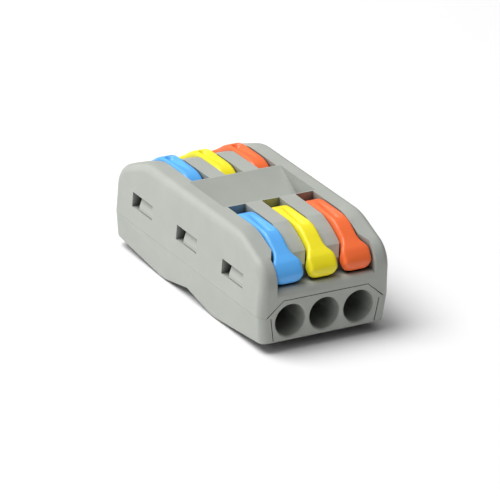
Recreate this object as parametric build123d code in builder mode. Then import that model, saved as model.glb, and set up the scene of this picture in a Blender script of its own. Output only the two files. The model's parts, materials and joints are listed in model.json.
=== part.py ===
"""Lever wire connector: a two-part snap housing, three through poles and six hinged clamp levers.

Frame: X across the poles, Y along the wires, Z up. The origin is under the middle of the housing,
on the surface it stands on. Millimetres.
"""

import os
from math import radians, sqrt, tan

from build123d import *

# ---------------------------------------------------------------- driving dimensions
LENGTH = 39.0
WIDTH = 19.7
RIM_TOP = 14.5
POLE_PITCH = 5.17

HALF_LENGTH = LENGTH / 2
HALF_WIDTH = WIDTH / 2
ABOVE_ALL = RIM_TOP + 2
PAST_END = HALF_LENGTH + 0.5

POLES = {"left": -POLE_PITCH, "centre": 0.0, "right": POLE_PITCH}
ENDS = {"front": -1, "back": 1}

# housing seam: straight and tight along the sides, stepped up over the wire holes at the ends
SEAM_Z = 5.15
SIDE_SEAM_GAP = 0.02
SEAM_GAP = 0.1
HOLE_PLATE_TOP = 7.17
HOLE_PLATE_HALF_TOP = 6.4
HOLE_PLATE_HALF_BASE = 8.7

# underside: two feet with a shallow notch between them
FOOT_OUTER = 7.1
FOOT_INNER = 6.3
END_LIFT = 1.4
NOTCH_DEPTH = 1.35
FLANK_DRAFT = 7.0
LOW_EDGE_RADIUS = 0.35

# upper housing outline
SIDE_DRAFT = 1.8
SLOPE_START = 12.3
SLOPE_END_Z = 11.6
SLOPE_BLEND = 8.0
SHOULDER_RADIUS = 3.8
RIM_RADIUS = 1.1
VALLEY_Z = 12.1
VALLEY_HALF_LENGTH = 4.5
VALLEY_HALF_WIDTH = 7.0

# inside
WALL = 1.6
CHAMBER_HALF_LENGTH = 12.4
CHAMBER_HALF_WIDTH = 2.05
CHAMBER_FLOOR = 2.4
CEILING = 9.95
CROSS_WALL = 2.0
FIT = 0.1

# wire entries
WIRE_RADIUS = 2.25
WIRE_Z = 4.23
MOUTH_CHAMFER = 0.2
STEP_TOP_X = 8.15
STEP_LOW_X = 7.6
STEP_WIDTH = 0.14
STEP_DEPTH = 0.18
STEP_UNDER_SEAM = 0.15
STEP_OVER_LIFT = 0.3

# latches
WINDOW_PITCH = 11.92
WINDOW_WIDTH = 5.35
WINDOW_BOTTOM = 7.5
WINDOW_TOP = 9.6
HOOK_WIDTH = 3.75
HOOK_LEAD_IN = 0.45
HOOK_CATCH = 0.6
ARM_INNER = 7.2
ARM_ROOT_Z = SEAM_Z - 1.0
POCKET_HALF_LENGTH = 15.0

# levers
PIVOT_Y = 8.0
PIVOT_Z = 11.5
HUB_RADIUS = 3.1
HUB_FLAT_Z = 9.75
TRUNNION_RADIUS = 0.9
TRUNNION_REACH = 1.95
BEARING_CLEARANCE = 0.05
STEM_HALF = 1.22
TIP_HALF = 2.08
TIP_CORNER_RADIUS = 0.8
FLARE_START = 16.1
FLARE_END = 17.8
TIP_FRONT_Y = 19.0
KNEE_START = (12.6, PIVOT_Z + HUB_RADIUS)
KNEE_MIDDLE = (13.9, 14.37)
KNEE_END = (15.0, 13.78)
NOSE_TOP = (17.75, 11.85)
NOSE_FRONT = (18.95, 10.3)
NOSE_BOTTOM = (18.35, 8.95)
LEVER_UNDERSIDE = ((17.2, 10.0), (15.4, 11.4), (13.2, 12.35), (11.2, 12.6), (10.45, 12.25))
HUB_FRONT = ((10.2, 10.4), (9.5, HUB_FLAT_Z))
SIDE_CLEARANCE = 0.13
SLOT_HALF = STEM_HALF + SIDE_CLEARANCE
TIP_CLEARANCE = 0.2
BAY_HALF = TIP_HALF + TIP_CLEARANCE
BAY_FLARE_START = FLARE_START - 0.1
BAY_FLARE_END = FLARE_END - 0.3
SLOT_INNER_Y = 4.67
SLOT_OUTER_Y = 11.3
GROOVE_START_Y = 7.6
GROOVE_END_Y = 12.9
GROOVE_DEPTH = 0.45
GROOVE_RADIUS = 0.85

# ribs between the levers, and the open ledge under the lever tips
RIB_TOP = 14.4
RIB_KNEE = (11.4, RIB_TOP)
RIB_SLOPE_MID = (14.0, 13.4)
RIB_SLOPE_END = (16.1, 12.05)
RIB_END_Y = 17.0
RIB_FRONT_TOP = 10.6
STEM_FLOOR_Z = 12.25
BAY_FLOOR = ((13.2, 12.05), (15.2, 11.1), (16.5, 9.8))
LEDGE_Z = 8.75
LEDGE_RADIUS = 1.0

# busbars and clamp springs
BAR_BOTTOM = 6.75
BAR_THICKNESS = 0.8
BAR_HALF_WIDTH = 1.8
TONGUE_HALF_WIDTH = 1.2
TONGUE_START = 9.9
BAR_END = 11.95
TONGUE_CORNER_RADIUS = 0.3
SPRING_THICKNESS = 0.35
SPRING_HALF_WIDTH = 1.9
SPRING_TOP = 9.63
LOOP_Y = 2.4
LEG_Y = 11.1
LEG_LEAN = 0.35
LEG_BOTTOM = 6.1
SPRING_BASE_END = 9.2
SPRING_BEND_RADIUS = 0.6
SPRING_ON_BAR_GAP = 0.02
LEG_WINDOW_WIDTH = 2.7
LEG_WINDOW_LENGTH = 1.2
LEG_WINDOW_HEIGHT = 1.6
LEG_WINDOW_BELOW_BAR = 0.05


def side_x(z):
    """Half-width of the housing at height z: both halves are drafted away from the seam."""
    draft = SIDE_DRAFT if z > SEAM_Z else FLANK_DRAFT
    return HALF_WIDTH - abs(z - SEAM_Z) * tan(radians(draft))


# ---------------------------------------------------------------- cutters shared by the housings
# room under and beside one lever stem and tip, for the back end of the centre pole
with BuildPart() as lever_bay:
    with BuildSketch(Plane.YZ):
        with BuildLine():
            Polyline(
                (SLOT_OUTER_Y - FIT, ABOVE_ALL),
                (SLOT_OUTER_Y - FIT, STEM_FLOOR_Z),
                *BAY_FLOOR,
                (RIB_END_Y, LEDGE_Z),
                (PAST_END, LEDGE_Z),
                (PAST_END, ABOVE_ALL),
                close=True,
            )
        make_face()
    extrude(amount=BAY_HALF, both=True)
    with BuildSketch(Plane.XY):
        with BuildLine():
            Polyline(
                (-SLOT_HALF, SLOT_INNER_Y),
                (-SLOT_HALF, BAY_FLARE_START),
                (-BAY_HALF, BAY_FLARE_END),
                (-BAY_HALF, PAST_END),
                (BAY_HALF, PAST_END),
                (BAY_HALF, BAY_FLARE_END),
                (SLOT_HALF, BAY_FLARE_START),
                (SLOT_HALF, SLOT_INNER_Y),
                close=True,
            )
        make_face()
    extrude(amount=ABOVE_ALL, mode=Mode.INTERSECT)

# through slot for the hub, with blind side slots that the trunnions slide up into
with BuildPart() as hub_slot:
    slot_length = SLOT_OUTER_Y - SLOT_INNER_Y
    bearing_radius = TRUNNION_RADIUS + BEARING_CLEARANCE
    bearing_width = 2 * (TRUNNION_REACH + BEARING_CLEARANCE)
    low_z = CEILING - FIT
    with Locations((0, SLOT_INNER_Y + slot_length / 2, low_z)):
        Box(2 * SLOT_HALF, slot_length, ABOVE_ALL - low_z, align=(Align.CENTER, Align.CENTER, Align.MIN))
    with Locations((0, PIVOT_Y, PIVOT_Z)):
        Cylinder(bearing_radius, bearing_width, rotation=(0, 90, 0))
    with Locations((0, PIVOT_Y, low_z)):
        Box(bearing_width, 2 * bearing_radius, PIVOT_Z - low_z, align=(Align.CENTER, Align.CENTER, Align.MIN))


def side_edges(part):
    """Edges that outline the two side faces, without their bottom edges."""
    faces = part.faces().sort_by(Axis.X)
    outline = faces[0].edges() + faces[-1].edges()
    lowest = part.bounding_box().min.Z
    return outline.filter_by(lambda e: e.bounding_box().max.Z > lowest + FIT)


# ---------------------------------------------------------------- upper housing
with BuildPart() as upper_housing:
    with BuildSketch(Plane.YZ) as outline:
        with BuildLine():
            Polyline(
                (-HALF_LENGTH, SEAM_Z + SIDE_SEAM_GAP),
                (-HALF_LENGTH, SLOPE_END_Z),
                (-SLOPE_START, RIM_TOP),
                (SLOPE_START, RIM_TOP),
                (HALF_LENGTH, SLOPE_END_Z),
                (HALF_LENGTH, SEAM_Z + SIDE_SEAM_GAP),
                close=True,
            )
        make_face()
        fillet(outline.vertices().group_by(Axis.Y)[-1], SLOPE_BLEND)
        fillet(outline.vertices().filter_by(lambda v: abs(v.Y - SLOPE_END_Z) < 0.01), SHOULDER_RADIUS)
    extrude(amount=HALF_WIDTH, both=True)
    with BuildSketch(Plane.XZ):
        with BuildLine():
            Polyline(
                (-HALF_WIDTH, SEAM_Z),
                (HALF_WIDTH, SEAM_Z),
                (side_x(ABOVE_ALL), ABOVE_ALL),
                (-side_x(ABOVE_ALL), ABOVE_ALL),
                close=True,
            )
        make_face()
    extrude(amount=PAST_END, both=True, mode=Mode.INTERSECT)
    fillet(side_edges(upper_housing.part), RIM_RADIUS)

    # V valley across the middle of the top
    with BuildSketch(Plane.YZ):
        with BuildLine():
            Polyline(
                (0, VALLEY_Z),
                (VALLEY_HALF_LENGTH, RIM_TOP),
                (VALLEY_HALF_LENGTH, ABOVE_ALL),
                (-VALLEY_HALF_LENGTH, ABOVE_ALL),
                (-VALLEY_HALF_LENGTH, RIM_TOP),
                close=True,
            )
        make_face()
    extrude(amount=VALLEY_HALF_WIDTH, both=True, mode=Mode.SUBTRACT)

    for end in ENDS.values():
        # ribs between the levers: a little lower than the side rims, they fall to the open ledge
        knee, slope_mid, slope_end = [(end * y, z) for y, z in (RIB_KNEE, RIB_SLOPE_MID, RIB_SLOPE_END)]
        with BuildSketch(Plane.YZ):
            with BuildLine():
                Line((end * VALLEY_HALF_LENGTH, RIM_TOP), knee)
                ThreePointArc(knee, slope_mid, slope_end)
                Polyline(
                    slope_end,
                    (end * RIB_END_Y, RIB_FRONT_TOP),
                    (end * RIB_END_Y, LEDGE_Z),
                    (end * PAST_END, LEDGE_Z),
                    (end * PAST_END, ABOVE_ALL),
                    (end * VALLEY_HALF_LENGTH, ABOVE_ALL),
                    (end * VALLEY_HALF_LENGTH, RIM_TOP),
                )
            make_face()
        extrude(amount=POLE_PITCH + SLOT_HALF, both=True, mode=Mode.SUBTRACT)

        # rounded front edge of the ledge under the lever tips
        ledge_end = HALF_LENGTH - LEDGE_RADIUS
        with BuildSketch(Plane.YZ):
            with BuildLine():
                Line((end * ledge_end, LEDGE_Z), (end * PAST_END, LEDGE_Z))
                Line((end * PAST_END, LEDGE_Z), (end * PAST_END, LEDGE_Z - LEDGE_RADIUS))
                Line((end * PAST_END, LEDGE_Z - LEDGE_RADIUS), (end * HALF_LENGTH, LEDGE_Z - LEDGE_RADIUS))
                ThreePointArc(
                    (end * HALF_LENGTH, LEDGE_Z - LEDGE_RADIUS),
                    (end * (ledge_end + LEDGE_RADIUS * sqrt(0.5)), LEDGE_Z - LEDGE_RADIUS * (1 - sqrt(0.5))),
                    (end * ledge_end, LEDGE_Z),
                )
            make_face()
        extrude(amount=POLE_PITCH + BAY_HALF, both=True, mode=Mode.SUBTRACT)

    # the levers' room
    for x in POLES.values():
        for end in ENDS.values():
            with Locations((x, 0, 0)):
                add(lever_bay.part, rotation=(0, 0, 90 - 90 * end), mode=Mode.SUBTRACT)
                add(hub_slot.part, rotation=(0, 0, 90 - 90 * end), mode=Mode.SUBTRACT)

    # hollow over the poles, and the passage for the stepped wire plates
    with Locations((0, 0, 0)):
        Box(
            2 * (HALF_WIDTH - WALL),
            2 * CHAMBER_HALF_LENGTH,
            CEILING,
            align=(Align.CENTER, Align.CENTER, Align.MIN),
            mode=Mode.SUBTRACT,
        )
    with BuildSketch(Plane.XZ):
        with BuildLine():
            Polyline(
                (-HOLE_PLATE_HALF_BASE - SEAM_GAP, SEAM_Z),
                (-HOLE_PLATE_HALF_BASE - SEAM_GAP, SEAM_Z + SEAM_GAP),
                (-HOLE_PLATE_HALF_TOP, HOLE_PLATE_TOP + SEAM_GAP),
                (HOLE_PLATE_HALF_TOP, HOLE_PLATE_TOP + SEAM_GAP),
                (HOLE_PLATE_HALF_BASE + SEAM_GAP, SEAM_Z + SEAM_GAP),
                (HOLE_PLATE_HALF_BASE + SEAM_GAP, SEAM_Z),
                close=True,
            )
        make_face()
    extrude(amount=PAST_END, both=True, mode=Mode.SUBTRACT)

    # pockets for the latch arms, and the windows that their hooks catch in
    pocket_width = HALF_WIDTH - WALL - ARM_INNER + FIT
    for side in (-1, 1):
        with Locations((side * (ARM_INNER - FIT + pocket_width / 2), 0, SEAM_Z)):
            Box(
                pocket_width,
                2 * POCKET_HALF_LENGTH,
                WINDOW_TOP + FIT - SEAM_Z,
                align=(Align.CENTER, Align.CENTER, Align.MIN),
                mode=Mode.SUBTRACT,
            )
        with Locations(*[(side * HALF_WIDTH, y, WINDOW_BOTTOM) for y in (-WINDOW_PITCH, 0, WINDOW_PITCH)]):
            Box(
                2 * WALL + FIT,
                WINDOW_WIDTH,
                WINDOW_TOP - WINDOW_BOTTOM,
                align=(Align.CENTER, Align.CENTER, Align.MIN),
                mode=Mode.SUBTRACT,
            )
upper_housing.part.label = "upper_housing"


# ---------------------------------------------------------------- lower housing
with BuildPart() as lower_housing:
    with BuildSketch(Plane.YZ):
        with BuildLine():
            Polyline(
                (-HALF_LENGTH, SEAM_Z),
                (-HALF_LENGTH, END_LIFT),
                (-FOOT_OUTER, 0),
                (-FOOT_INNER, 0),
                (0, NOTCH_DEPTH),
                (FOOT_INNER, 0),
                (FOOT_OUTER, 0),
                (HALF_LENGTH, END_LIFT),
                (HALF_LENGTH, SEAM_Z),
                close=True,
            )
        make_face()
    extrude(amount=HALF_WIDTH, both=True)
    with BuildSketch(Plane.XZ):
        with BuildLine():
            Polyline(
                (-HALF_WIDTH, SEAM_Z),
                (-side_x(0), 0),
                (side_x(0), 0),
                (HALF_WIDTH, SEAM_Z),
                close=True,
            )
        make_face()
    extrude(amount=PAST_END, both=True, mode=Mode.INTERSECT)
    corner_edges = lower_housing.edges().filter_by(
        lambda e: e.bounding_box().min.Z > END_LIFT - FIT
        and e.bounding_box().max.Z > SEAM_Z - FIT
        and e.bounding_box().size.Z > 1
    )
    fillet(corner_edges, RIM_RADIUS)
    low_edges = lower_housing.edges().filter_by(
        lambda e: e.bounding_box().max.Z < END_LIFT + FIT
        and (e.bounding_box().size.Y > 0.5 or abs(e.center().Y) > HALF_LENGTH - RIM_RADIUS - FIT)
    )
    fillet(low_edges, LOW_EDGE_RADIUS)

    # stepped wire plates at the ends
    for end in ENDS.values():
        with BuildSketch(Plane.XZ.offset(-end * HALF_LENGTH)):
            with BuildLine():
                Polyline(
                    (-HOLE_PLATE_HALF_BASE, SEAM_Z - SEAM_GAP),
                    (-HOLE_PLATE_HALF_BASE, SEAM_Z),
                    (-HOLE_PLATE_HALF_TOP, HOLE_PLATE_TOP),
                    (HOLE_PLATE_HALF_TOP, HOLE_PLATE_TOP),
                    (HOLE_PLATE_HALF_BASE, SEAM_Z),
                    (HOLE_PLATE_HALF_BASE, SEAM_Z - SEAM_GAP),
                    close=True,
                )
            make_face()
        extrude(amount=end * (HALF_LENGTH - CHAMBER_HALF_LENGTH + FIT))

    # side walls and partitions of the pole chambers
    wall_length = 2 * (CHAMBER_HALF_LENGTH - FIT)
    wall_width = HALF_WIDTH - WALL - FIT - ARM_INNER
    for side in (-1, 1):
        with Locations((side * (ARM_INNER + wall_width / 2), 0, CHAMBER_FLOOR)):
            Box(
                wall_width,
                wall_length,
                WINDOW_BOTTOM - CHAMBER_FLOOR,
                align=(Align.CENTER, Align.CENTER, Align.MIN),
            )
    # chambers
    with Locations(*[(x, 0, CHAMBER_FLOOR) for x in POLES.values()]):
        Box(
            2 * CHAMBER_HALF_WIDTH,
            2 * CHAMBER_HALF_LENGTH,
            ABOVE_ALL,
            align=(Align.CENTER, Align.CENTER, Align.MIN),
            mode=Mode.SUBTRACT,
        )
    partition = POLE_PITCH - 2 * CHAMBER_HALF_WIDTH
    with Locations(*[(side * POLE_PITCH / 2, 0, CHAMBER_FLOOR) for side in (-1, 1)]):
        Box(
            partition,
            2 * CHAMBER_HALF_LENGTH,
            CEILING - 2 * FIT - CHAMBER_FLOOR,
            align=(Align.CENTER, Align.CENTER, Align.MIN),
        )
    # cross wall that stops the wires and carries the busbars
    with Locations((0, 0, CHAMBER_FLOOR)):
        Box(
            2 * ARM_INNER,
            CROSS_WALL,
            BAR_BOTTOM - CHAMBER_FLOOR,
            align=(Align.CENTER, Align.CENTER, Align.MIN),
        )

    # latch arms with their hooks, each at one end of its window
    hook_face = side_x(WINDOW_TOP) - FIT
    for side in (-1, 1):
        for y in (-WINDOW_PITCH, 0, WINDOW_PITCH):
            hook_y = y + side * (WINDOW_WIDTH - HOOK_WIDTH) / 2
            with BuildSketch(Plane.XZ.offset(-hook_y)):
                with BuildLine():
                    Polyline(
                        (side * ARM_INNER, ARM_ROOT_Z),
                        (side * ARM_INNER, WINDOW_TOP - FIT),
                        (side * (hook_face - HOOK_LEAD_IN), WINDOW_TOP - FIT),
                        (side * hook_face, WINDOW_BOTTOM + HOOK_CATCH),
                        (side * hook_face, WINDOW_BOTTOM + FIT),
                        (side * (HALF_WIDTH - WALL - FIT), WINDOW_BOTTOM + FIT),
                        (side * (HALF_WIDTH - WALL - FIT), ARM_ROOT_Z),
                        close=True,
                    )
                make_face()
            extrude(amount=(HOOK_WIDTH - 2 * FIT) / 2, both=True)

    # fine step line between each wire plate and the corner strips
    for end in ENDS.values():
        with BuildSketch(Plane.XZ.offset(-end * HALF_LENGTH)):
            for side in (-1, 1):
                with BuildLine():
                    Polyline(
                        (side * STEP_TOP_X, SEAM_Z - STEP_UNDER_SEAM),
                        (side * STEP_LOW_X, END_LIFT + STEP_OVER_LIFT),
                        (side * (STEP_LOW_X + STEP_WIDTH), END_LIFT + STEP_OVER_LIFT),
                        (side * (STEP_TOP_X + STEP_WIDTH), SEAM_Z - STEP_UNDER_SEAM),
                        close=True,
                    )
                make_face()
        extrude(amount=end * STEP_DEPTH, mode=Mode.SUBTRACT)

    # wire entries
    for end in ENDS.values():
        with BuildSketch(Plane.XZ.offset(-end * HALF_LENGTH)):
            with Locations(*[(x, WIRE_Z) for x in POLES.values()]):
                Circle(WIRE_RADIUS)
        extrude(amount=end * (HALF_LENGTH - CHAMBER_HALF_LENGTH + FIT), mode=Mode.SUBTRACT)
    mouths = lower_housing.edges().filter_by(GeomType.CIRCLE).filter_by(
        lambda e: abs(abs(e.center().Y) - HALF_LENGTH) < 0.01 and abs(e.radius - WIRE_RADIUS) < 0.01
    )
    chamfer(mouths, MOUTH_CHAMFER)
lower_housing.part.label = "lower_housing"


# ---------------------------------------------------------------- busbar
with BuildPart() as busbar:
    with BuildSketch(Plane.XY.offset(BAR_BOTTOM)) as strip:
        Rectangle(2 * BAR_HALF_WIDTH, 2 * TONGUE_START)
        Rectangle(2 * TONGUE_HALF_WIDTH, 2 * BAR_END)
        tongue_corners = strip.vertices().filter_by(lambda v: abs(v.Y) > TONGUE_START - FIT)
        fillet(tongue_corners, TONGUE_CORNER_RADIUS)
    extrude(amount=BAR_THICKNESS)

# ---------------------------------------------------------------- clamp spring, back end
with BuildPart() as spring:
    low_z = BAR_BOTTOM + BAR_THICKNESS + SPRING_THICKNESS / 2 + SPRING_ON_BAR_GAP
    top_z = SPRING_TOP - SPRING_THICKNESS / 2
    with BuildSketch(Plane.YZ):
        with BuildLine():
            FilletPolyline(
                (SPRING_BASE_END, low_z),
                (LOOP_Y, low_z),
                (LOOP_Y, top_z),
                (LEG_Y - LEG_LEAN, top_z),
                (LEG_Y, LEG_BOTTOM),
                radius=SPRING_BEND_RADIUS,
            )
        trace(line_width=SPRING_THICKNESS)
    extrude(amount=SPRING_HALF_WIDTH, both=True)
    with Locations((0, LEG_Y, BAR_BOTTOM - LEG_WINDOW_BELOW_BAR)):
        Box(
            LEG_WINDOW_WIDTH,
            LEG_WINDOW_LENGTH,
            LEG_WINDOW_HEIGHT,
            align=(Align.CENTER, Align.CENTER, Align.MIN),
            mode=Mode.SUBTRACT,
        )

# ---------------------------------------------------------------- lever, back end of the centre pole
with BuildPart() as lever:
    flat_reach = sqrt(HUB_RADIUS**2 - (PIVOT_Z - HUB_FLAT_Z) ** 2)
    hub_top = (PIVOT_Y, PIVOT_Z + HUB_RADIUS)
    hub_heel = (PIVOT_Y - HUB_RADIUS, PIVOT_Z)
    cam_corner = (PIVOT_Y - flat_reach, HUB_FLAT_Z)
    with BuildSketch(Plane.YZ):
        with BuildLine():
            ThreePointArc(cam_corner, hub_heel, hub_top)
            Line(hub_top, KNEE_START)
            ThreePointArc(KNEE_START, KNEE_MIDDLE, KNEE_END)
            Line(KNEE_END, NOSE_TOP)
            ThreePointArc(NOSE_TOP, NOSE_FRONT, NOSE_BOTTOM)
            Polyline(
                NOSE_BOTTOM,
                *LEVER_UNDERSIDE,
                *HUB_FRONT,
                cam_corner,
            )
        make_face()
    extrude(amount=TIP_HALF, both=True)
    with BuildSketch(Plane.XY) as plan:
        with BuildLine():
            Polyline(
                (-STEM_HALF, 0),
                (-STEM_HALF, FLARE_START),
                (-TIP_HALF, FLARE_END),
                (-TIP_HALF, TIP_FRONT_Y),
                (TIP_HALF, TIP_FRONT_Y),
                (TIP_HALF, FLARE_END),
                (STEM_HALF, FLARE_START),
                (STEM_HALF, 0),
                close=True,
            )
        make_face()
        fillet(plan.vertices().filter_by(lambda v: v.Y > FLARE_END + FIT), TIP_CORNER_RADIUS)
    extrude(amount=ABOVE_ALL, mode=Mode.INTERSECT)
    # finger groove along the crown: it starts at nothing, deepens outwards and ends bluntly at the knee
    groove_start = Vector(0, GROOVE_START_Y, PIVOT_Z + HUB_RADIUS + GROOVE_RADIUS)
    groove_run = Vector(0, GROOVE_END_Y - GROOVE_START_Y, -GROOVE_DEPTH)
    with BuildSketch(Plane(origin=groove_start, x_dir=(1, 0, 0), z_dir=groove_run)):
        Circle(GROOVE_RADIUS)
    extrude(amount=groove_run.length, mode=Mode.SUBTRACT)
    with Locations((0, PIVOT_Y, PIVOT_Z)):
        Cylinder(TRUNNION_RADIUS, 2 * TRUNNION_REACH, rotation=(0, 90, 0))

# ---------------------------------------------------------------- files
os.makedirs("parts", exist_ok=True)
export_step(upper_housing.part, "parts/upper_housing.step")
export_step(lower_housing.part, "parts/lower_housing.step")

for pole, x in POLES.items():
    bar = busbar.part.moved(Location((x, 0, 0)))
    bar.label = f"{pole}_busbar"
    export_step(bar, f"parts/{bar.label}.step")
    for end_name, end in ENDS.items():
        place = Location((x, 0, 0), (0, 0, 90 - 90 * end))
        for piece, kind in ((spring, "spring"), (lever, "lever")):
            placed = piece.part.moved(place)
            placed.label = f"{end_name}_{pole}_{kind}"
            export_step(placed, f"parts/{placed.label}.step")
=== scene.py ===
"""Looks of the lever wire connector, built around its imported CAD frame. Metres, in the row frame."""

import json
import math

import bmesh
import bpy
from mathutils import Matrix, Vector


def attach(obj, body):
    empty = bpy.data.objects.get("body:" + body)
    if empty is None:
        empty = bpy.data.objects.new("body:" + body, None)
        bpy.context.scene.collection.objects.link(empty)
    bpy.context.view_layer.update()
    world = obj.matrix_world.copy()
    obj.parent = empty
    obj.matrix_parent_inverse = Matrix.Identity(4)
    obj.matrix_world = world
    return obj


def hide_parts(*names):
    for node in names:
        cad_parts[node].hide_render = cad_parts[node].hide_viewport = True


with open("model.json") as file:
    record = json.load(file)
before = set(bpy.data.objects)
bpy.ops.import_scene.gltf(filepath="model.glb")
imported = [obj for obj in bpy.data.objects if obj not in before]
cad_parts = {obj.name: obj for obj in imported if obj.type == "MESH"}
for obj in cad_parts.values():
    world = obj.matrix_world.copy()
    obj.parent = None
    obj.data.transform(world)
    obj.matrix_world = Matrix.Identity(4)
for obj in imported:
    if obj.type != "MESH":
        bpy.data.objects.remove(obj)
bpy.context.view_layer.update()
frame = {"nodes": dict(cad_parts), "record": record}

MM = 0.001
POLES = ("left", "centre", "right")
ENDS = {"front": -1, "back": 1}
LEVER_COLOURS = {"left": "blue", "centre": "yellow", "right": "orange"}

# ---------------------------------------------------------------- camera
CAMERA_TARGET = Vector((-1.433, -2.568, 6.539)) * MM
CAMERA_DISTANCE = 552.56 * MM
CAMERA_AZIMUTH = math.radians(-31.76)
CAMERA_ELEVATION = math.radians(24.085)
CAMERA_ROLL = math.radians(3.018)
FOCAL_LENGTH_MM = 300.94


def make_camera():
    """Long-lens camera, turned and rolled about the point that it looks at."""
    away = Vector((
        math.sin(CAMERA_AZIMUTH) * math.cos(CAMERA_ELEVATION),
        -math.cos(CAMERA_AZIMUTH) * math.cos(CAMERA_ELEVATION),
        math.sin(CAMERA_ELEVATION),
    ))
    right = (-away).cross(Vector((0, 0, 1))).normalized()
    up = right.cross(-away)
    rolled_right = right * math.cos(CAMERA_ROLL) + up * math.sin(CAMERA_ROLL)
    rolled_up = up * math.cos(CAMERA_ROLL) - right * math.sin(CAMERA_ROLL)
    data = bpy.data.cameras.new("camera")
    data.lens = FOCAL_LENGTH_MM
    data.sensor_width = 36
    data.clip_start = 0.01
    data.clip_end = 20
    camera = bpy.data.objects.new("camera", data)
    bpy.context.scene.collection.objects.link(camera)
    turn = Matrix((rolled_right, rolled_up, away)).transposed().to_4x4()
    camera.matrix_world = Matrix.Translation(CAMERA_TARGET + away * CAMERA_DISTANCE) @ turn
    bpy.context.scene.camera = camera


# ---------------------------------------------------------------- materials
def node(tree, kind, **values):
    """A new shader node; values set its inputs by name, or its properties."""
    made = tree.nodes.new(kind)
    for name, value in values.items():
        label = name.replace("_", " ")
        if label in made.inputs:
            made.inputs[label].default_value = value
        else:
            setattr(made, name, value)
    return made


# painted shade in recesses: occlusion at which it is full, occlusion at which it is gone, and the darkest
# colour share
PAINTED_SHADE_FULL_AT = 0.08
PAINTED_SHADE_NONE_AT = 0.5
PAINTED_SHADE_DARKEST = 0.12


def moulded_plastic(name, colour, roughness, specular=0.42, speckle=0.03, texture=0.35, painted_shade_reach=0.0):
    """Injection-moulded plastic: faint cloudy colour, uneven gloss and a fine spark-eroded surface, with
    painted shade in its recesses when asked for.
    """
    material = bpy.data.materials.new(name)
    material.use_nodes = True
    tree = material.node_tree
    shader = tree.nodes["Principled BSDF"]
    shader.inputs["Specular IOR Level"].default_value = specular
    shader.inputs["IOR"].default_value = 1.49
    place = node(tree, "ShaderNodeTexCoord")
    cloud = node(tree, "ShaderNodeTexNoise", Scale=260.0, Detail=4.0, Roughness=0.55)
    grain = node(tree, "ShaderNodeTexNoise", Scale=5200.0, Detail=3.0, Roughness=0.6)
    for texture_node in (cloud, grain):
        tree.links.new(place.outputs["Object"], texture_node.inputs["Vector"])
    low = [max(0.0, c * (1 - speckle)) for c in colour]
    high = [min(1.0, c * (1 + speckle)) for c in colour]
    tint = node(tree, "ShaderNodeValToRGB")
    tint.color_ramp.elements[0].position = 0.3
    tint.color_ramp.elements[0].color = (*low, 1)
    tint.color_ramp.elements[1].position = 0.7
    tint.color_ramp.elements[1].color = (*high, 1)
    tree.links.new(cloud.outputs["Fac"], tint.inputs["Fac"])
    if painted_shade_reach:
        # painted shade: enclosed surfaces get a darker base colour, by a set amount, so that holes and
        # slots read as deep
        recess = node(tree, "ShaderNodeAmbientOcclusion", samples=8)
        recess.inputs["Distance"].default_value = painted_shade_reach
        shade = node(tree, "ShaderNodeMapRange")
        shade.inputs["From Min"].default_value = PAINTED_SHADE_FULL_AT
        shade.inputs["From Max"].default_value = PAINTED_SHADE_NONE_AT
        shade.inputs["To Min"].default_value = PAINTED_SHADE_DARKEST
        dim = node(tree, "ShaderNodeVectorMath", operation="SCALE")
        tree.links.new(recess.outputs["AO"], shade.inputs["Value"])
        tree.links.new(tint.outputs["Color"], dim.inputs[0])
        tree.links.new(shade.outputs["Result"], dim.inputs["Scale"])
        tree.links.new(dim.outputs["Vector"], shader.inputs["Base Color"])
    else:
        tree.links.new(tint.outputs["Color"], shader.inputs["Base Color"])
    gloss = node(tree, "ShaderNodeMapRange")
    gloss.inputs["To Min"].default_value = roughness - 0.05
    gloss.inputs["To Max"].default_value = roughness + 0.06
    tree.links.new(grain.outputs["Fac"], gloss.inputs["Value"])
    tree.links.new(gloss.outputs["Result"], shader.inputs["Roughness"])
    bump = node(tree, "ShaderNodeBump", Strength=texture, Distance=0.00002)
    tree.links.new(grain.outputs["Fac"], bump.inputs["Height"])
    tree.links.new(bump.outputs["Normal"], shader.inputs["Normal"])
    return material


def strip_metal(name, colour, roughness, stretch):
    """Rolled metal strip: fine lines along its length."""
    material = bpy.data.materials.new(name)
    material.use_nodes = True
    tree = material.node_tree
    shader = tree.nodes["Principled BSDF"]
    shader.inputs["Metallic"].default_value = 1.0
    place = node(tree, "ShaderNodeTexCoord")
    squeeze = node(tree, "ShaderNodeMapping")
    squeeze.inputs["Scale"].default_value = stretch
    lines = node(tree, "ShaderNodeTexNoise", Scale=900.0, Detail=5.0, Roughness=0.6)
    tree.links.new(place.outputs["Object"], squeeze.inputs["Vector"])
    tree.links.new(squeeze.outputs["Vector"], lines.inputs["Vector"])
    tint = node(tree, "ShaderNodeValToRGB")
    tint.color_ramp.elements[0].color = (*[c * 0.85 for c in colour], 1)
    tint.color_ramp.elements[1].color = (*colour, 1)
    tree.links.new(lines.outputs["Fac"], tint.inputs["Fac"])
    tree.links.new(tint.outputs["Color"], shader.inputs["Base Color"])
    gloss = node(tree, "ShaderNodeMapRange")
    gloss.inputs["To Min"].default_value = roughness - 0.08
    gloss.inputs["To Max"].default_value = roughness + 0.1
    tree.links.new(lines.outputs["Fac"], gloss.inputs["Value"])
    tree.links.new(gloss.outputs["Result"], shader.inputs["Roughness"])
    bump = node(tree, "ShaderNodeBump", Strength=0.2, Distance=0.00002)
    tree.links.new(lines.outputs["Fac"], bump.inputs["Height"])
    tree.links.new(bump.outputs["Normal"], shader.inputs["Normal"])
    return material


def finish_with(piece, material):
    """Gives a piece its one material."""
    piece.data.materials.clear()
    piece.data.materials.append(material)


EDGE_RADIUS = 0.12 * MM


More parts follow.
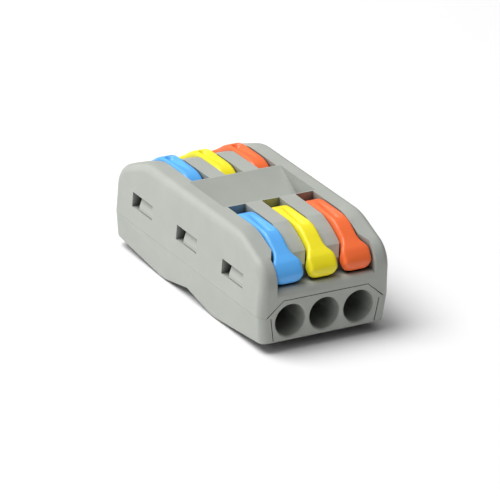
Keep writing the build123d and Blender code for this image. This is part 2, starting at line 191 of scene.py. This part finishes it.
def soften_edges(piece, width):
    """Small moulded radius on a CAD node's sharp edges."""
    weld = piece.modifiers.new("weld", "WELD")
    weld.merge_threshold = 1e-7
    bevel = piece.modifiers.new("edge_radius", "BEVEL")
    bevel.width = width
    bevel.segments = 3
    bevel.limit_method = "ANGLE"
    bevel.angle_limit = math.radians(32)
    bevel.harden_normals = True


# ---------------------------------------------------------------- levers
# one station of the shut lever's side view per line, in mm outwards (y) and up (z) from its hinge:
# underside y, z; top y, z; half width; corner radius
LEVER_STATIONS = (
    (-3.04, -0.4, -3.04, 0.4, 0.9, 0.2),
    (-2.8, -1.25, -2.8, 1.25, 1.1, 0.35),
    (-2.35, -1.72, -2.35, 1.95, 1.2, 0.4),
    (-1.65, -1.74, -1.65, 2.55, 1.21, 0.42),
    (-0.85, -1.74, -0.85, 2.92, 1.21, 0.42),
    (0.2, -1.74, 0.1, 3.07, 1.21, 0.42),
    (1.3, -1.72, 1.2, 3.09, 1.21, 0.42),
    (1.95, -1.2, 2.2, 3.09, 1.21, 0.42),
    (2.35, -0.1, 2.8, 3.09, 1.21, 0.42),
    (2.7, 0.92, 3.4, 3.09, 1.21, 0.42),
    (3.6, 1.08, 4.2, 3.08, 1.21, 0.42),
    (4.6, 0.95, 5.1, 3.02, 1.21, 0.42),
    (5.5, 0.7, 6, 2.8, 1.21, 0.42),
    (6.4, 0.35, 6.9, 2.33, 1.21, 0.42),
    (7.1, 0.05, 7.6, 1.85, 1.22, 0.43),
    (7.8, -0.4, 8.3, 1.36, 1.23, 0.4),
    (8.4, -0.85, 8.9, 0.94, 1.46, 0.4),
    (8.95, -1.3, 9.45, 0.6, 1.85, 0.4),
    (9.35, -1.7, 9.95, 0.24, 2.05, 0.4),
    (9.7, -2.05, 10.5, -0.4, 2.07, 0.5),
    (10, -2.3, 10.84, -1, 2.04, 0.5),
    (10.2, -2.4, 10.9, -1.5, 1.8, 0.4),
    (10.32, -2.45, 10.82, -2, 1.4, 0.2),
    (10.4, -2.48, 10.62, -2.3, 0.9, 0.08),
)
STATION_STEPS = 5
CORNER_STEPS = 5
ACROSS_STEPS = 14
SCOOP_START_Y = -0.4
SCOOP_DEEPEST_Y = 4.7
SCOOP_END_Y = 5.5
SCOOP_DEPTH = 0.6
SCOOP_HALF_WIDTH = 0.72
CROWN_TOLERANCE = 0.01
SCOOP_LEAST_RISE = 0.02
SCOOP_SECTION_POWER = 0.9
CORNER_HEIGHT_SHARE = 0.48
CORNER_WIDTH_SHARE = 0.9
TRUNNION_RADIUS = 0.88
TRUNNION_REACH = 1.93
TRUNNION_SEGMENTS = 40


def smooth_between(stations, steps):
    """Points of a smooth curve through the stations, which keeps every column of numbers continuous."""
    ends = (stations[0],) + tuple(stations) + (stations[-1],)
    for before, start, end, after in zip(ends, ends[1:], ends[2:], ends[3:]):
        for step in range(steps):
            t = step / steps
            yield tuple(
                0.5 * (
                    2 * b
                    + (c - a) * t
                    + (2 * a - 5 * b + 4 * c - d) * t**2
                    + (3 * b - a - 3 * c + d) * t**3
                )
                for a, b, c, d in zip(before, start, end, after)
            )
    yield stations[-1]


def scoop(x, y):
    """Depth of the finger scoop in the crown, which widens and deepens outwards and ends bluntly."""
    if not SCOOP_START_Y < y < SCOOP_END_Y:
        return 0.0
    if y < SCOOP_DEEPEST_Y:
        rise = (y - SCOOP_START_Y) / (SCOOP_DEEPEST_Y - SCOOP_START_Y)
    else:
        rise = math.cos((y - SCOOP_DEEPEST_Y) / (SCOOP_END_Y - SCOOP_DEEPEST_Y) * math.pi / 2)
    half = SCOOP_HALF_WIDTH * math.sqrt(max(rise, SCOOP_LEAST_RISE))
    across = min(abs(x) / half, 1.0)
    return SCOOP_DEPTH * rise * (1 - across * across) ** SCOOP_SECTION_POWER


def lever_ring(station):
    """One rounded section of the lever, as (x, y, z) points round it."""
    low_y, low_z, top_y, top_z, half, radius = station
    run = Vector((0, top_y - low_y, top_z - low_z))
    height = run.length
    up = run.normalized()
    radius = min(radius, height * CORNER_HEIGHT_SHARE, half * CORNER_WIDTH_SHARE)
    flat = []
    for side_x, side_z, start in ((1, 1, 0), (-1, 1, 90), (-1, -1, 180), (1, -1, 270)):
        for step in range(CORNER_STEPS + 1):
            angle = math.radians(start + 90 * step / CORNER_STEPS)
            flat.append((
                side_x * (half - radius) + radius * math.cos(angle),
                height / 2 + side_z * (height / 2 - radius) + radius * math.sin(angle),
            ))
        if side_z == side_x == 1:
            edge = half - radius
            flat.extend(
                (edge * (1 - 2 * step / ACROSS_STEPS), height) for step in range(1, ACROSS_STEPS)
            )
    ring = []
    for x, rise in flat:
        place = Vector((x, low_y, low_z)) + up * rise
        if rise > height - CROWN_TOLERANCE:
            place.z -= scoop(x, place.y)
        ring.append(place)
    return ring


def hinge_of(node_name):
    """Where a lever turns, from the record's own joint."""
    for joint in frame["record"]["behaviour"]["joints"]:
        if joint["child"] == node_name:
            return Vector(joint["pos_m"])
    raise ValueError(f"{node_name} has no joint")


def lever_shape():
    """The back centre pole's lever, its hinge at the origin: lofted arm and hub, with its two trunnions."""
    shape = bmesh.new()
    rings = [
        [shape.verts.new(place * MM) for place in lever_ring(station)]
        for station in smooth_between(LEVER_STATIONS, STATION_STEPS)
    ]
    for ring, following in zip(rings, rings[1:]):
        for index in range(len(ring)):
            after = (index + 1) % len(ring)
            shape.faces.new((ring[index], ring[after], following[after], following[index]))
    shape.faces.new(list(reversed(rings[0])))
    shape.faces.new(rings[-1])
    bmesh.ops.create_cone(
        shape,
        cap_ends=True,
        segments=TRUNNION_SEGMENTS,
        radius1=TRUNNION_RADIUS * MM,
        radius2=TRUNNION_RADIUS * MM,
        depth=2 * TRUNNION_REACH * MM,
        matrix=Matrix.Rotation(math.pi / 2, 4, "Y"),
    )
    bmesh.ops.recalc_face_normals(shape, faces=shape.faces)
    return shape


def make_lever(end_name, pole, material):
    """A smooth lever in place of its CAD solid."""
    node_name = f"{end_name}_{pole}_lever"
    shape = lever_shape()
    if ENDS[end_name] < 0:
        bmesh.ops.rotate(shape, verts=shape.verts, cent=(0, 0, 0), matrix=Matrix.Rotation(math.pi, 3, "Z"))
    bmesh.ops.translate(shape, verts=shape.verts, vec=hinge_of(node_name))
    mesh = bpy.data.meshes.new(f"{node_name}_moulding")
    shape.to_mesh(mesh)
    shape.free()
    piece = bpy.data.objects.new(f"{node_name}_moulding", mesh)
    bpy.context.scene.collection.objects.link(piece)
    for face in mesh.polygons:
        face.use_smooth = True
    finish_with(piece, material)
    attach(piece, node_name)
    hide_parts(node_name)


# ---------------------------------------------------------------- stage
SKY_BRIGHT_SIDE = (-0.62, 0.42, 0.66)
SKY_FADE_START = -0.25
SKY_FADE_END = 0.9
SKY_DARK = 0.0
SKY_BRIGHT = 0.7
KEY_PLACE = (-0.2, 0.12, 0.46)
KEY_SIZE = 0.35
KEY_POWER = 2.7
FLOOR_HALF_SIZE = 3.0


def make_stage():
    """Pale seamless floor, a sky that fades from one side, and one soft panel."""
    floor_mesh = bpy.data.meshes.new("floor")
    shape = bmesh.new()
    bmesh.ops.create_grid(shape, x_segments=1, y_segments=1, size=FLOOR_HALF_SIZE)
    shape.to_mesh(floor_mesh)
    shape.free()
    floor = bpy.data.objects.new("floor", floor_mesh)
    bpy.context.scene.collection.objects.link(floor)
    white = bpy.data.materials.new("floor_white")
    white.use_nodes = True
    surface = white.node_tree.nodes["Principled BSDF"]
    surface.inputs["Base Color"].default_value = (0.9, 0.9, 0.9, 1)
    surface.inputs["Roughness"].default_value = 0.9
    floor.data.materials.append(white)

    world = bpy.data.worlds.new("studio")
    bpy.context.scene.world = world
    world.use_nodes = True
    tree = world.node_tree
    background = tree.nodes["Background"]
    background.inputs["Color"].default_value = (1, 1, 1, 1)
    place = node(tree, "ShaderNodeTexCoord")
    facing = node(tree, "ShaderNodeVectorMath", operation="DOT_PRODUCT")
    facing.inputs[1].default_value = SKY_BRIGHT_SIDE
    fade = node(tree, "ShaderNodeMapRange")
    fade.inputs["From Min"].default_value = SKY_FADE_START
    fade.inputs["From Max"].default_value = SKY_FADE_END
    fade.inputs["To Min"].default_value = SKY_DARK
    fade.inputs["To Max"].default_value = SKY_BRIGHT
    tree.links.new(place.outputs["Generated"], facing.inputs[0])
    tree.links.new(facing.outputs["Value"], fade.inputs["Value"])
    tree.links.new(fade.outputs["Result"], background.inputs["Strength"])

    data = bpy.data.lights.new("key_panel", "AREA")
    data.size = KEY_SIZE
    data.energy = KEY_POWER
    lamp = bpy.data.objects.new("key_panel", data)
    bpy.context.scene.collection.objects.link(lamp)
    lamp.location = KEY_PLACE
    lamp.rotation_euler = (-Vector(KEY_PLACE)).to_track_quat("-Z", "Y").to_euler()
    bpy.context.scene.view_settings.view_transform = "Standard"


make_camera()
make_stage()

# the housing's holes, slots and windows get painted shade
housing = moulded_plastic("housing_grey", (0.40, 0.42, 0.385), 0.5, painted_shade_reach=5 * MM)
lever_plastics = {
    "blue": moulded_plastic("lever_blue", (0.11, 0.44, 0.95), 0.34),
    "yellow": moulded_plastic("lever_yellow", (0.95, 0.82, 0.02), 0.34),
    "orange": moulded_plastic("lever_orange", (0.98, 0.17, 0.045), 0.34),
}
tinned = strip_metal("tinned_copper", (0.78, 0.76, 0.73), 0.35, (1, 0.05, 1))
spring_steel = strip_metal("spring_steel", (0.62, 0.63, 0.65), 0.3, (1, 0.05, 1))

for name in ("upper_housing", "lower_housing"):
    finish_with(frame["nodes"][name], housing)
    soften_edges(frame["nodes"][name], EDGE_RADIUS)
for pole in POLES:
    finish_with(frame["nodes"][f"{pole}_busbar"], tinned)
    for end_name in ENDS:
        finish_with(frame["nodes"][f"{end_name}_{pole}_spring"], spring_steel)
        make_lever(end_name, pole, lever_plastics[LEVER_COLOURS[pole]])
